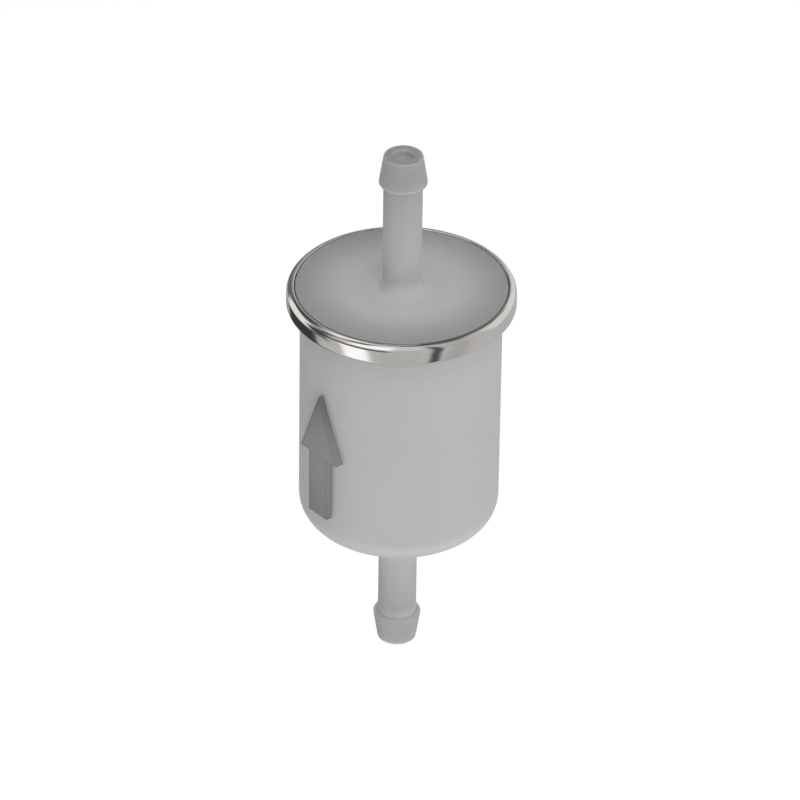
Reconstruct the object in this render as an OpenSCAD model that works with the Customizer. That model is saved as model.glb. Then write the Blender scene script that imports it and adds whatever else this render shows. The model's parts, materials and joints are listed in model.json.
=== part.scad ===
// In-line fuel filter. A moulded cup and a moulded cover, each with a hose nipple, are held together
// by a rolled metal ring. A pleated paper element stands inside on a spring.
// Millimetres. The inlet nipple's tip is at the origin, fuel flows up along +Z, and the arrow faces -Y.

/* [Body] */
// Outside diameter of the cup
body_d = 36.2; // [30:0.1:46]
// Height from the underside of the cup to the top face of the cover
body_h = 49; // [40:0.5:70]
// Thickness of the cup's side wall
wall = 1.6; // [1.2:0.1:2.2]
// Thickness of the cup's floor
floor_t = 1.8; // [1.4:0.1:2.6]
// Radius of the rounded edge round the base
base_round = 5.2; // [3:0.1:6.4]
// Thickness of the cover's plate
cover_t = 2.2; // [1.8:0.1:3]

/* [Hose nipples] */
// Length of each nipple from the body to its tip
nipple_len = 27.2; // [18:0.2:36]
// Diameter of the stem that the hose slides along, and of the barb's tip
stem_d = 7; // [5.8:0.1:8.4]
// Distance by which the barb's crest stands out from the stem
barb_step = 0.825; // [0.6:0.025:1.2]
// Length of the barb's cone
barb_len = 5.3; // [4:0.1:8]
// Width of the straight band round the barb's crest
barb_land = 0.4; // [0.3:0.1:1]
// Wall of the nipple round its fuel passage
nipple_wall = 1.6; // [1.2:0.1:2]
// Radius of the blend between each nipple and the body
nipple_blend = 1; // [0.4:0.1:1.6]

/* [Crimped joint] */
// Distance by which the cup's flange stands out from its side wall
flange_w = 2; // [1.6:0.1:3]
// Height of the metal ring
ring_h = 3.7; // [3.4:0.1:6]
// Thickness of the ring's sheet metal
ring_t = 0.4; // [0.3:0.05:0.6]
// Outside radius of the ring's rolled top edge
ring_roll = 1.4; // [1:0.1:1.8]
// Outside radius of the bend at the ring's lower edge
ring_bend = 0.5; // [0.5:0.05:0.8]
// Thickness of the gasket between cup and cover
gasket_t = 0.6; // [0.4:0.1:1]
// Thickness of the cup's flange
cup_flange_t = 1; // [0.8:0.1:1.6]

/* [Flow arrow] */
// Height of the arrow's lower end above the underside of the cup
arrow_z = 7.9; // [6:0.1:12]
// Length of the arrow
arrow_len = 25.3; // [16:0.1:30]
// Length of the arrow's head
arrow_head_len = 12.6; // [8:0.1:14]
// Width of the arrow's head
arrow_head_w = 9.8; // [7:0.1:12]
// Width of the arrow's shaft
arrow_shaft_w = 4.9; // [3:0.1:6]
// Distance by which the arrow's face stands out from the cup
arrow_proud = 1; // [0.6:0.1:1.6]

/* [Filter element] */
// Gap for the fuel between the element and the cup's wall
fuel_gap = 3; // [1.5:0.1:4]
// Thickness of each end cap's plate
cap_t = 1; // [0.8:0.1:1.6]
// Height of the rim round each end cap
cap_rim_h = 2; // [1.5:0.1:3]
// Thickness of the rim round each end cap
cap_rim_t = 0.7; // [0.5:0.1:1]
// Thickness of the plastisol that bonds the paper to each cap
bond_t = 1.2; // [0.8:0.1:1.8]
// Number of pleats in the paper
pleats = 32; // [24:1:36]
// Thickness of the paper
paper_t = 0.3; // [0.2:0.02:0.34]
// Gap between the paper and the core tube
paper_gap = 0.4; // [0.2:0.1:1]
// Wall of the core tube
core_wall = 0.65; // [0.5:0.05:0.9]
// Diameter of the holes in the core tube
core_hole_d = 2.4; // [1.6:0.1:3]

/* [Outlet seal and spring] */
// Length of the spigot under the cover
spigot_len = 6; // [5:0.1:8]
// Thickness of the outlet seal's round section
seal_t = 1.5; // [1.3:0.1:1.8]
// Depth of the groove that the outlet seal sits in
groove_depth = 1.2; // [0.8:0.1:1.25]
// Height of the spring
spring_h = 7.6; // [7:0.1:9]
// Thickness of the spring's wire
wire_d = 1; // [0.8:0.05:1.2]
// Diameter of the spring at the middle of its wire
spring_d = 13.2; // [11:0.1:16]
// Thickness of the spring's seat washer
seat_t = 0.4; // [0.3:0.05:0.6]

/* [Hidden] */
$fn = 128;

// Clearances and small features
slip_gap = 0.05;      // between pieces that slide into each other
guide_gap = 0.1;      // between the cap's rim and the guide ribs, and round the cover's skirt
arc_steps = 16;       // straight steps in a rounded corner of a turned outline
cut = 1;              // how far a cutting shape runs past a face
root = 0.5;           // how far a moulded feature is rooted in the wall it grows from

// Heights up the axis
base_z = nipple_len;
top_z = base_z + body_h;
tip_z = top_z + nipple_len;
floor_z = base_z + floor_t;
ring_z = top_z - ring_h;
cup_flange_z = ring_z + ring_t;
cup_rim_z = cup_flange_z + cup_flange_t;
gasket_top_z = cup_rim_z + gasket_t;
cover_under_z = top_z - cover_t;

// Radii of the housing
body_r = body_d / 2;
cup_r = body_r - wall;
flange_r = body_r + flange_w;
ring_r = flange_r + slip_gap + ring_t;
lip_edge_r = ring_r - ring_roll;
inner_round = max(0.6, base_round - wall);
stem_r = stem_d / 2;
barb_r = stem_r + barb_step;
passage_r = stem_r - nipple_wall;
tip_round = 0.25;
crest_z = barb_len + barb_land;
flange_chamfer = 0.3;

// Cover: skirt, ribs and spigot
skirt_r = cup_r - guide_gap;
skirt_t = 1.2;
skirt_h = 3;
rib_count = 6;
rib_t = 1.2;
cover_rib_h = 2;
spigot_wall = 1.7;
groove_r = passage_r + spigot_wall;
spigot_r = groove_r + groove_depth;
spigot_z = cover_under_z - spigot_len;
groove_w = seal_t + 0.5;
groove_end = 1;

// Filter element
cap_r = cup_r - fuel_gap;
cap_top_z = cover_under_z - cover_rib_h;
upper_plate_z = cap_top_z - cap_t;
spring_z = floor_z;
seat_z = spring_z + spring_h;
lower_cap_z = seat_z + seat_t;
lower_plate_z = lower_cap_z + cap_t;
bond_r = cap_r - cap_rim_t;
collar_t = 0.8;
collar_h = 4.5;
collar_r = groove_r + seal_t;
collar_outer_r = collar_r + collar_t;
core_r = collar_outer_r + slip_gap;
core_outer_r = core_r + core_wall;
core_hole_rows = 6;
core_end = 4;
paper_outer_r = bond_r - 0.4;
paper_inner_r = core_outer_r + paper_gap;
paper_z = lower_plate_z + bond_t;
paper_top_z = upper_plate_z - bond_t;
paper_h = paper_top_z - paper_z;
seal_z = spigot_z + groove_end + groove_w / 2;

// Floor of the cup and the spring's seat
boss_h = 1.2;
boss_r = spring_d / 2 - wire_d / 2 - 0.6;
seat_hole_r = boss_r + guide_gap;
seat_r = spring_d / 2 + wire_d / 2 + 1;
guide_rib_r = cap_r + guide_gap;
guide_rib_top = lower_cap_z + cap_t + cap_rim_h + 1;
end_pitch = wire_d * 1.05;
end_turns = 1;
active_turns = 2;
turns = active_turns + 2 * end_turns;
turn_steps = 24;
wire_sides = 10;

// Paper folds: half widths of a fold seen from its outside and from its inside
fold_outside = 1.25 * paper_t;
fold_inside = 0.25 * paper_t;
pleat_angle = 360 / pleats;

// Seam clip and pleat bands
clip_t = 0.2;
clip_grip = 0.4;      // share of the folds' depth that the clip's legs reach over
clip_leg = clip_grip * (paper_outer_r - paper_inner_r);
valley_half = (paper_inner_r + paper_t) * sin(pleat_angle / 2) - fold_inside;
leg_spread = clip_leg * (valley_half - fold_outside) / (paper_outer_r - paper_inner_r - paper_t);
clip_half_w = fold_outside + leg_spread + slip_gap + clip_t;
band_t = 0.33;
band_h = 1.2;
band_gap = 0.02;
band_count = 2;

// Points along an arc about (x, y), from one angle to another
function arc(x, y, r, from, to) =
    [for (i = [0:arc_steps]) let (a = from + (to - from) * i / arc_steps) [x + r * cos(a), y + r * sin(a)]];

// A point at radius r and angle a, moved sideways by s
function polar(r, a, s) = [r * cos(a) - s * sin(a), r * sin(a) + s * cos(a)];

// One outline of the folded paper: ridges at the outer radius and valleys at the inner radius
function folds(outer, inner, ridge_half, valley_half) = [
    for (i = [0:pleats - 1])
        for (p = [
            polar(outer, i * pleat_angle, -ridge_half),
            polar(outer, i * pleat_angle, ridge_half),
            polar(inner, (i + 0.5) * pleat_angle, -valley_half),
            polar(inner, (i + 0.5) * pleat_angle, valley_half)
        ]) p
];

// Height of the wire's centre after t turns: close coils at both ends, open coils between
function coil_z(t) =
    let (pitch = (spring_h - wire_d - 2 * end_turns * end_pitch) / active_turns)
    wire_d / 2 + end_pitch * min(t, end_turns) + pitch * max(0, min(t - end_turns, active_turns))
        + end_pitch * max(0, t - end_turns - active_turns);

// A ring between two radii
module tube(outer, inner, z, h) {
    translate([0, 0, z]) difference() {
        cylinder(r = outer, h = h);
        translate([0, 0, -cut]) cylinder(r = inner, h = h + 2 * cut);
    }
}

// The outside of a nipple, tip at the origin, blended into a face at the nipple's length
module nipple_body() {
    rotate_extrude() polygon(concat(
        [[0, 0]],
        arc(stem_r - tip_round, tip_round, tip_round, -90, 0),
        [[barb_r, barb_len], [barb_r, crest_z], [stem_r, crest_z]],
        arc(stem_r + nipple_blend, nipple_len - nipple_blend, nipple_blend, 180, 90),
        [[stem_r + nipple_blend, nipple_len + root], [0, nipple_len + root]]
    ));
}

// Walls that stand out like spokes between two radii
module spokes(inner, outer, z, h) {
    for (i = [0:rib_count - 1])
        rotate([0, 0, (i + 0.5) * 360 / rib_count])
            translate([inner, -rib_t / 2, z]) cube([outer - inner, rib_t, h]);
}

// The cup's outside: rounded base, side wall and crimping flange
module cup_outside() {
    rotate_extrude() polygon(concat(
        [[0, base_z]],
        arc(body_r - base_round, base_z + base_round, base_round, -90, 0),
        [[body_r, cup_flange_z], [flange_r - flange_chamfer, cup_flange_z],
            [flange_r, cup_flange_z + flange_chamfer], [flange_r, cup_rim_z], [0, cup_rim_z]]
    ));
}

// The cup's hollow, with the floor boss and the guide ribs left standing in it
module cup_hollow() {
    difference() {
        rotate_extrude() polygon(concat(
            [[0, floor_z]],
            arc(cup_r - inner_round, floor_z + inner_round, inner_round, -90, 0),
            [[cup_r, cup_rim_z + cut], [0, cup_rim_z + cut]]
        ));
        translate([0, 0, floor_z - cut]) cylinder(r = boss_r, h = boss_h + cut);
        spokes(guide_rib_r, body_r, floor_z - cut, guide_rib_top - floor_z + cut);
    }
}

// Moulded cup with the inlet nipple, floor boss, guide ribs and crimping flange
module lower_housing() {
    color("gainsboro") difference() {
        union() {
            nipple_body();
            cup_outside();
        }
        cup_hollow();
        translate([0, 0, -cut]) cylinder(r = passage_r, h = floor_z + boss_h + 2 * cut);
    }
}

// Moulded cover with the outlet nipple, locating skirt, stop ribs and sealing spigot
module upper_cover() {
    color("gainsboro") difference() {
        union() {
            translate([0, 0, tip_z]) mirror([0, 0, 1]) nipple_body();
            rotate_extrude() polygon(concat(
                [[0, cover_under_z], [skirt_r - skirt_t, cover_under_z], [skirt_r - skirt_t, cup_rim_z - skirt_h],
                    [skirt_r, cup_rim_z - skirt_h], [skirt_r, gasket_top_z], [flange_r, gasket_top_z]],
                arc(lip_edge_r, top_z - ring_roll, ring_roll - ring_t - slip_gap, 0, 90),
                [[lip_edge_r - slip_gap, top_z - ring_t - slip_gap], [lip_edge_r - slip_gap, top_z], [0, top_z]]
            ));
            translate([0, 0, spigot_z]) cylinder(r = spigot_r, h = spigot_len + root);
            spokes(collar_outer_r, skirt_r - skirt_t / 2, cap_top_z, cover_rib_h + root);
        }
        translate([0, 0, spigot_z - cut]) cylinder(r = passage_r, h = tip_z - spigot_z + 2 * cut);
        tube(spigot_r + cut, groove_r, spigot_z + groove_end, groove_w);
    }
}

// Metal band rolled over the cover at the top and under the cup's flange at the bottom
module crimp_ring() {
    color("silver") rotate_extrude() polygon(concat(
        arc(lip_edge_r, top_z - ring_roll, ring_roll, 90, 0),
        arc(ring_r - ring_bend, ring_z + ring_bend, ring_bend, 0, -90),
        [[body_r + 3 * slip_gap, ring_z], [body_r + 3 * slip_gap, ring_z + ring_t]],
        arc(ring_r - ring_bend, ring_z + ring_bend, ring_bend - ring_t, -90, 0),
        arc(lip_edge_r, top_z - ring_roll, ring_roll - ring_t, 0, 90)
    ));
}

// Raised arrow that shows which way the fuel flows
module flow_arrow() {
    face = body_r + arrow_proud;
    shoulder_z = arrow_len - arrow_head_len;
    color("gray") difference() {
        translate([0, 0, base_z + arrow_z]) rotate([90, 0, 0]) linear_extrude(height = face) polygon([
            [-arrow_shaft_w / 2, 0], [arrow_shaft_w / 2, 0], [arrow_shaft_w / 2, shoulder_z],
            [arrow_head_w / 2, shoulder_z], [0, arrow_len], [-arrow_head_w / 2, shoulder_z],
            [-arrow_shaft_w / 2, shoulder_z]
        ]);
        translate([0, 0, base_z]) cylinder(r = body_r, h = body_h);
    }
}

// Flat rubber ring squeezed between the cup's flange and the cover
module flange_gasket() {
    color("black") tube(flange_r - 0.2, cup_r + 0.5, cup_rim_z, gasket_t);
}

// Pleated paper, folded into a star and closed into a ring
module filter_media() {
    color("khaki") translate([0, 0, paper_z]) linear_extrude(height = paper_h) difference() {
        polygon(folds(paper_outer_r, paper_inner_r + paper_t, fold_outside, fold_inside));
        polygon(folds(paper_outer_r - paper_t, paper_inner_r, fold_inside, fold_outside));
    }
}

// Folded metal strip that grips the fold where the paper's two ends meet
module seam_clip() {
    inside = clip_leg + slip_gap;
    color("slategray") translate([paper_outer_r - clip_leg, -clip_half_w, paper_z]) difference() {
        cube([inside + clip_t, 2 * clip_half_w, paper_h]);
        translate([-cut, clip_t, -cut]) cube([inside + cut, 2 * (clip_half_w - clip_t), paper_h + 2 * cut]);
    }
}

// Narrow bands round the pleats that keep them evenly spaced, open where the seam clip runs
module pleat_bands() {
    color("white") for (i = [1:band_count])
        difference() {
            tube(paper_outer_r + band_gap + band_t, paper_outer_r + band_gap,
                paper_z + paper_h * i / (band_count + 1) - band_h / 2, band_h);
            translate([0, -clip_half_w - guide_gap, paper_z])
                cube([cap_r, 2 * (clip_half_w + guide_gap), paper_h]);
        }
}

// Perforated tube inside the paper that stops the fuel's pressure from crushing the folds
module core_tube() {
    span = upper_plate_z - lower_plate_z - 2 * core_end - core_hole_d;
    color("ivory") difference() {
        tube(core_outer_r, core_r, lower_plate_z, upper_plate_z - lower_plate_z);
        for (row = [0:core_hole_rows - 1])
            for (i = [0:2])
                translate([0, 0, lower_plate_z + core_end + core_hole_d / 2 + span * row / (core_hole_rows - 1)])
                    rotate([90, 0, i * 60 + (row % 2) * 30])
                        cylinder(d = core_hole_d, h = 2 * core_outer_r + 2 * cut, center = true, $fn = 32);
    }
}

// Open end cap with a collar that seals on the cover's spigot
module upper_end_cap() {
    color("whitesmoke") union() {
        tube(cap_r, collar_r, upper_plate_z, cap_t);
        tube(cap_r, bond_r, upper_plate_z - cap_rim_h, cap_rim_h + cap_t / 2);
        tube(collar_outer_r, collar_r, upper_plate_z - collar_h, collar_h + cap_t / 2);
    }
}

// Closed end cap with a boss inside the core tube and a boss that centres the spring's seat
module lower_end_cap() {
    color("whitesmoke") union() {
        translate([0, 0, lower_cap_z]) cylinder(r = cap_r, h = cap_t);
        tube(cap_r, bond_r, lower_cap_z + cap_t / 2, cap_rim_h + cap_t / 2);
        translate([0, 0, lower_cap_z + cap_t / 2]) cylinder(r = collar_outer_r, h = cap_rim_h + cap_t / 2);
        translate([0, 0, lower_cap_z - boss_h]) cylinder(r = boss_r, h = boss_h + cap_t / 2);
    }
}

// Ring of set plastisol that holds the folds to the open cap
module upper_bond() {
    color("orange") tube(bond_r, core_outer_r, upper_plate_z - bond_t, bond_t);
}

// Ring of set plastisol that holds the folds to the closed cap
module lower_bond() {
    color("orange") tube(bond_r, core_outer_r, lower_plate_z, bond_t);
}

// Rubber ring in the spigot's groove, seated against the open cap's collar
module outlet_seal() {
    color("black") translate([0, 0, seal_z])
        rotate_extrude() translate([groove_r + seal_t / 2, 0]) circle(d = seal_t, $fn = 48);
}

// Coil spring that holds the element up against the cover
module element_spring() {
    rings = turns * turn_steps;
    points = [
        for (i = [0:rings])
            let (t = i / turn_steps, a = 360 * t, z = spring_z + coil_z(t))
                for (k = [0:wire_sides - 1])
                    let (b = 360 * k / wire_sides, r = spring_d / 2 + wire_d / 2 * cos(b))
                        [r * cos(a), r * sin(a), z + wire_d / 2 * sin(b)]
    ];
    sides = [
        for (i = [0:rings - 1])
            for (k = [0:wire_sides - 1])
                let (n = (k + 1) % wire_sides, p = i * wire_sides, q = p + wire_sides)
                    [p + k, q + k, q + n, p + n]
    ];
    first = [for (k = [0:wire_sides - 1]) k];
    last = [for (k = [wire_sides - 1:-1:0]) rings * wire_sides + k];
    color("lightsteelblue") polyhedron(points = points, faces = concat(sides, [first, last]), convexity = 8);
}

// Steel washer between the spring and the closed cap
module spring_seat() {
    color("silver") tube(seat_r, seat_hole_r, seat_z, seat_t);
}

lower_housing();
upper_cover();
crimp_ring();
flow_arrow();
flange_gasket();
filter_media();
seam_clip();
pleat_bands();
core_tube();
upper_end_cap();
lower_end_cap();
upper_bond();
lower_bond();
outlet_seal();
element_spring();
spring_seat();
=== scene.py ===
# %% [markdown]
# # A crimped fuel filter, finished round its CAD frame
# The CAD model settles where every piece is and how big it is. This file gives the filter its finish:
# milky mouldings, a bright rolled band, a grey arrow, and the paper, rubber, steel and plastisol inside.
# The packed model is loaded first, because everything here is measured from it.

# %% Load the frame
import json
import math
from types import SimpleNamespace

import bmesh
import bpy
from mathutils import Matrix, Quaternion, Vector


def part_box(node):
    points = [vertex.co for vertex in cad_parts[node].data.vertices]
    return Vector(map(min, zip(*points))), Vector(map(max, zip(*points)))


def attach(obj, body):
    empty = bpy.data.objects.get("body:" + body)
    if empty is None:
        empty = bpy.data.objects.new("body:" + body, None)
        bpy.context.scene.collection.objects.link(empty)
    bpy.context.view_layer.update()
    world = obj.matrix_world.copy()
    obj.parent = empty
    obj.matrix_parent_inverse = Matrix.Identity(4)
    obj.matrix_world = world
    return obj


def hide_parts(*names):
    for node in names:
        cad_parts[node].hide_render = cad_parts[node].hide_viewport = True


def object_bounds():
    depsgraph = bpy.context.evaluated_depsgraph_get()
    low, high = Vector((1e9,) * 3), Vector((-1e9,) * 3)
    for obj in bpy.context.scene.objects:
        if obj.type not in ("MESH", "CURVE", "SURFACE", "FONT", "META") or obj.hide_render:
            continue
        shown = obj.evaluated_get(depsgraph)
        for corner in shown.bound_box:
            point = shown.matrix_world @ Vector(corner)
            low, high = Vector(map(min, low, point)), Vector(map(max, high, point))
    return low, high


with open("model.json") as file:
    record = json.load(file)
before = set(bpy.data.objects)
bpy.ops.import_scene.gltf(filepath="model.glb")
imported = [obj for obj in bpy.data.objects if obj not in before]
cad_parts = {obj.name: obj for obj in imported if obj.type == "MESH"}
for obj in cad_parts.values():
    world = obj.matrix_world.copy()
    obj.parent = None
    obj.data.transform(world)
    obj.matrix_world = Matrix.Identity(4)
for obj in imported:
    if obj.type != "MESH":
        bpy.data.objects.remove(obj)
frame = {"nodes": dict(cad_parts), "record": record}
cad_low, cad_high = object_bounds()
nodes = frame["nodes"]
print("nodes:", ", ".join(sorted(nodes)))

# %% [markdown]
# ## The camera
# A long lens from well back keeps the two nipples nearly parallel, as in a catalogue picture. The camera
# looks down on the filter from the right of its arrow, aims at the middle of its axis, and is rolled by
# less than a degree.

# %% Camera
CAMERA_AZIMUTH = math.radians(49.3)
CAMERA_ELEVATION = math.radians(33.7)
CAMERA_ROLL = math.radians(0.85)
CAMERA_DISTANCE = 1.2537
CAMERA_LENS = 313.9


def towards(azimuth, elevation):
    """A unit vector from the filter to a place at this azimuth, from the arrow's side, and elevation."""
    flat = math.cos(elevation)
    return Vector((math.sin(azimuth) * flat, -math.cos(azimuth) * flat, math.sin(elevation)))


filter_centre = Vector((0, 0, (cad_low.z + cad_high.z) / 2))
view_back = towards(CAMERA_AZIMUTH, CAMERA_ELEVATION)
camera_data = bpy.data.cameras.new("camera")
camera_data.lens = CAMERA_LENS
camera = bpy.data.objects.new("camera", camera_data)
bpy.context.scene.collection.objects.link(camera)
camera.location = filter_centre + view_back * CAMERA_DISTANCE
aim = (-view_back).to_track_quat("-Z", "Y") @ Quaternion((0, 0, 1), CAMERA_ROLL)
camera.rotation_euler = aim.to_euler()
bpy.context.scene.camera = camera
print("camera at", [round(c, 3) for c in camera.location])

# %% [markdown]
# ## Sizes
# Radii and heights are read off the CAD pieces: the mounts give the barb and the passage, a piece's box
# gives its ends, and the corners of its mesh between two heights give its radii. Only small things that
# the CAD model leaves out, such as the rounding of an edge, get a value of their own. Chosen values are in
# capitals, and what is measured or worked out isn't. A hair is the tolerance for comparing places.

# %% Measuring
MM = 0.001
HAIR = 0.02 * MM


def radius(node, low, high, pick=max):
    """Largest, or smallest, radius of a CAD piece's corners between two heights."""
    corners = [v.co for v in nodes[node].data.vertices if low - HAIR <= v.co.z <= high + HAIR]
    return pick(math.hypot(c.x, c.y) for c in corners)


def height(node, inner, outer, pick=min):
    """Lowest, or highest, corner of a CAD piece between two radii."""
    corners = [v.co for v in nodes[node].data.vertices]
    return pick(c.z for c in corners if inner - HAIR <= math.hypot(c.x, c.y) <= outer + HAIR)


def say(**lengths):
    """Prints lengths with their names, in millimetres."""
    parts = [f"{name.replace('_', ' ')} {length / MM:.2f}" for name, length in lengths.items()]
    print(", ".join(parts), "mm")


say(overall_length=cad_high.z - cad_low.z, overall_width=cad_high.x - cad_low.x)

# %% Sizes from the CAD pieces
mounts = {mount["name"]: mount for mount in frame["record"]["mounts"]}
barb_r = mounts["inlet_barb"]["dims"]["r_mm"] * MM
passage_r = mounts["inlet_passage"]["dims"]["r_mm"] * MM
barb_land = mounts["inlet_barb"]["dims"]["length_mm"] * MM
crest_h = mounts["inlet_barb"]["pos_m"][2] + barb_land / 2
tip_z = cad_high.z
cup_low, cup_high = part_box("lower_housing")
ring_low, ring_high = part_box("crimp_ring")
gasket_low, gasket_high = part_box("flange_gasket")
arrow_low, arrow_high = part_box("flow_arrow")
rim_z = cup_high.z
top_z = ring_high.z
ring_r = ring_high.x
TIP_ROUND = 0.25 * MM
stem_r = radius("lower_housing", TIP_ROUND, TIP_ROUND)
body_r = radius("flow_arrow", arrow_low.z, arrow_high.z, min)
flange_r = cup_high.x
cup_r = radius("lower_housing", rim_z, rim_z, min)
lip_r = radius("crimp_ring", top_z, top_z, min)
base_z = height("lower_housing", body_r / 2, body_r)
body_half = (top_z - base_z) / 2
say(stem_radius=stem_r, barb_radius=barb_r, body_radius=body_r, flange_radius=flange_r)
say(base_at=base_z, rim_at=rim_z, top_at=top_z, tip_at=tip_z)

# %% [markdown]
# ## Writing shader maths
# A finish is easier to read as arithmetic than as a web of nodes. `Wire` holds one socket and turns sums,
# products and powers into Math nodes. `Board` holds one node tree, and its `node` method adds any other
# node: its settings first, then the values or wires of its sockets.


# %% Wires
class Wire:
    """One shader socket that sums can be written with."""

    def __init__(self, board, socket):
        self.board = board
        self.socket = socket

    def maths(self, operation, *terms):
        """A Math node on this wire and the other terms."""
        return self.board.node("ShaderNodeMath", {"operation": operation}, dict(enumerate((self, *terms))))

    def __add__(self, other):
        return self.maths("ADD", other)

    def __sub__(self, other):
        return self.maths("SUBTRACT", other)

    def __rsub__(self, other):
        return self.maths("MULTIPLY", -1.0) + other

    def __mul__(self, other):
        return self.maths("MULTIPLY", other)

    def __pow__(self, other):
        return self.maths("POWER", other)

    __radd__ = __add__
    __rmul__ = __mul__


print("a wire can be added, subtracted, multiplied and raised to a power")


# %% Boards
class Board:
    """One node tree, with short ways to add to it."""

    def __init__(self, tree):
        self.tree = tree

    def node(self, kind, settings=None, sockets=None, out=0):
        """Adds a node of this kind and returns one of its outputs."""
        new = self.tree.nodes.new(kind)
        for name, value in (settings or {}).items():
            setattr(new, name, value)
        for name, value in (sockets or {}).items():
            if isinstance(value, Wire):
                self.tree.links.new(value.socket, new.inputs[name])
            else:
                new.inputs[name].default_value = value
        return Wire(self, new.outputs[out])

    def step(self, value, low, high, start=0.0, end=1.0):
        """Goes smoothly from start to end while value goes from low to high."""
        sockets = {"Value": value, "From Min": low, "From Max": high, "To Min": start, "To Max": end}
        return self.node("ShaderNodeMapRange", {"interpolation_type": "SMOOTHSTEP"}, sockets)

    def noise(self, vector, scale, detail=2.0):
        """A cloudy pattern from 0 to 1 with about this many clouds to a metre."""
        return self.node("ShaderNodeTexNoise", {}, {"Vector": vector, "Scale": scale, "Detail": detail})

    def mix(self, mask, first, second):
        """A colour between two colours."""
        return self.node("ShaderNodeMix", {"data_type": "RGBA"}, {0: mask, 6: first, 7: second}, out=2)

    def bump(self, relief, depth, strength=1.0):
        """A normal that follows a relief of this depth."""
        return self.node("ShaderNodeBump", {}, {"Height": relief, "Distance": depth, "Strength": strength})

    def place(self):
        """Where on the filter this point is: the vector, its parts, and its radius from the axis."""
        vector = self.node("ShaderNodeTexCoord", out="Object")
        x, y, z = [self.node("ShaderNodeSeparateXYZ", {}, {0: vector}, out=axis) for axis in "XYZ"]
        return SimpleNamespace(vector=vector, x=x, y=y, z=z, r=(x * x + y * y) ** 0.5)

    def stretched(self, vector, scale):
        """The place stretched along its axes, so that a pattern runs in streaks."""
        return self.node("ShaderNodeVectorMath", {"operation": "MULTIPLY"}, {0: vector, 1: scale})


print("a board can add", ", ".join(name for name in vars(Board) if not name.startswith("_")))


# %% New materials
def finish(name, slots):
    """A new material with its board and its shader, whose uniform sockets are set from slots."""
    material = bpy.data.materials.new(name)
    material.use_nodes = True
    shader = material.node_tree.nodes["Principled BSDF"]
    for socket, value in slots.items():
        shader.inputs[socket].default_value = value
    return material, Board(material.node_tree), shader


def feed(board, shader, **wires):
    """Links wires to the shader's sockets, whose names have a space for each underscore."""
    for name, wire in wires.items():
        board.tree.links.new(wire.socket, shader.inputs[name.replace("_", " ")])


print("materials start from finish() and end with feed()")

# %% [markdown]
# ## Milky plastic
# The cup and the cover are moulded from unfilled nylon, which is cloudy rather than white: light goes in,
# scatters and comes out a millimetre or two away. Subsurface scattering does that. Painted light and shade
# lie over the grey: the cover's plate is painted lighter round the foot of its nipple and darker towards
# its rim, and the nipples are painted darker towards their tips. These are tints: numbers near 1 that
# multiply one grey, each made where it is needed below. Most hold only in one place, and a mask says where.


# %% Tints
def within(mask, tint):
    """This tint where the mask is 1, and no tint where it is 0."""
    return 1.0 + mask * (tint - 1.0)


print("half way into its mask, a tint of 0.8 is", within(0.5, 0.8))

# %% Plate tint
# Painted light and shade on the cover's plate.
FOOT_TINT = 1.25
CREASE_TINT = 1.15
CREASE_REACH = 4 * MM
RIM_TINT = 0.81
EDGE_PAINTED_SHADOW = 0.3


def plate_painted_light(board, here):
    """Painted light round the nipple's foot, painted shade to the rim, painted shadow in the gap by the
    lip.
    """
    on_plate = board.step(here.z, top_z - 1.2 * MM, top_z - 0.4 * MM)
    across = board.step(here.r, 0.45 * body_r, 1.1 * body_r, FOOT_TINT, RIM_TINT)
    crease = board.step(here.r, stem_r + 0.3 * MM, stem_r + CREASE_REACH, CREASE_TINT, 1.0)
    beside_lip = board.step(here.r, lip_r - MM, lip_r - 0.5 * MM)
    edge = beside_lip * board.step(here.z, top_z - 0.1 * MM, top_z - 0.03 * MM, 1.0, 0.0)
    return within(on_plate, across * crease) * within(edge, EDGE_PAINTED_SHADOW)


print(f"plate tint from {FOOT_TINT * CREASE_TINT:.2f} at the foot to {RIM_TINT} at the rim")

# %% Cup tint
# Painted shade under the band and round the base.
BASE_TINT = 0.7
BASE_REACH = 4 * MM
UNDER_BAND_TINT = 0.9
UNDER_BAND_REACH = 8 * MM
BAND_SHADE = 0.72


def cup_painted_shade(board, here):
    """Painted shade under the band, with a painted shadow line just below it, and round the base."""
    band_z = ring_low.z
    below_band = board.step(here.z, band_z, band_z + 0.2 * MM, 1.0, 0.0)
    fade = board.step(here.z, band_z - UNDER_BAND_REACH, band_z, 1.0, UNDER_BAND_TINT)
    shade = board.step(here.z, band_z - 2.1 * MM, band_z - 0.5 * MM, 1.0, BAND_SHADE)
    off_stem = board.step(here.r, stem_r + MM, stem_r + 3 * MM)
    base = board.step(here.z, base_z, base_z + BASE_REACH, BASE_TINT, 1.0)
    return within(below_band, fade * shade) * within(off_stem, base)


print(f"cup tint {BASE_TINT} at the base, {UNDER_BAND_TINT * BAND_SHADE:.2f} under the band")

# %% [markdown]
# The nipples need care round their barbs. The outlet barb's shoulder faces down and the inlet barb's
# faces up, so they catch the light differently, and painted light and shade on each evens them out. The
# walls inside the passages get painted light of their own, which grows with depth, so that they look
# paler inside than their shade would leave them.

# %% Nipple tints
# Painted shade on the nipples' stems, tips and crests, and painted light on the inlet's shoulder.
STEM_TINT = 0.73
OUTLET_TIP_TINT = 0.69
OUTLET_CREST_TINT = 0.7
INLET_TIP_TINT = 0.72
INLET_CREST_TINT = 0.93
SHOULDER_LIFT = 0.3
CREASE_LIFT = 0.25


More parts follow.
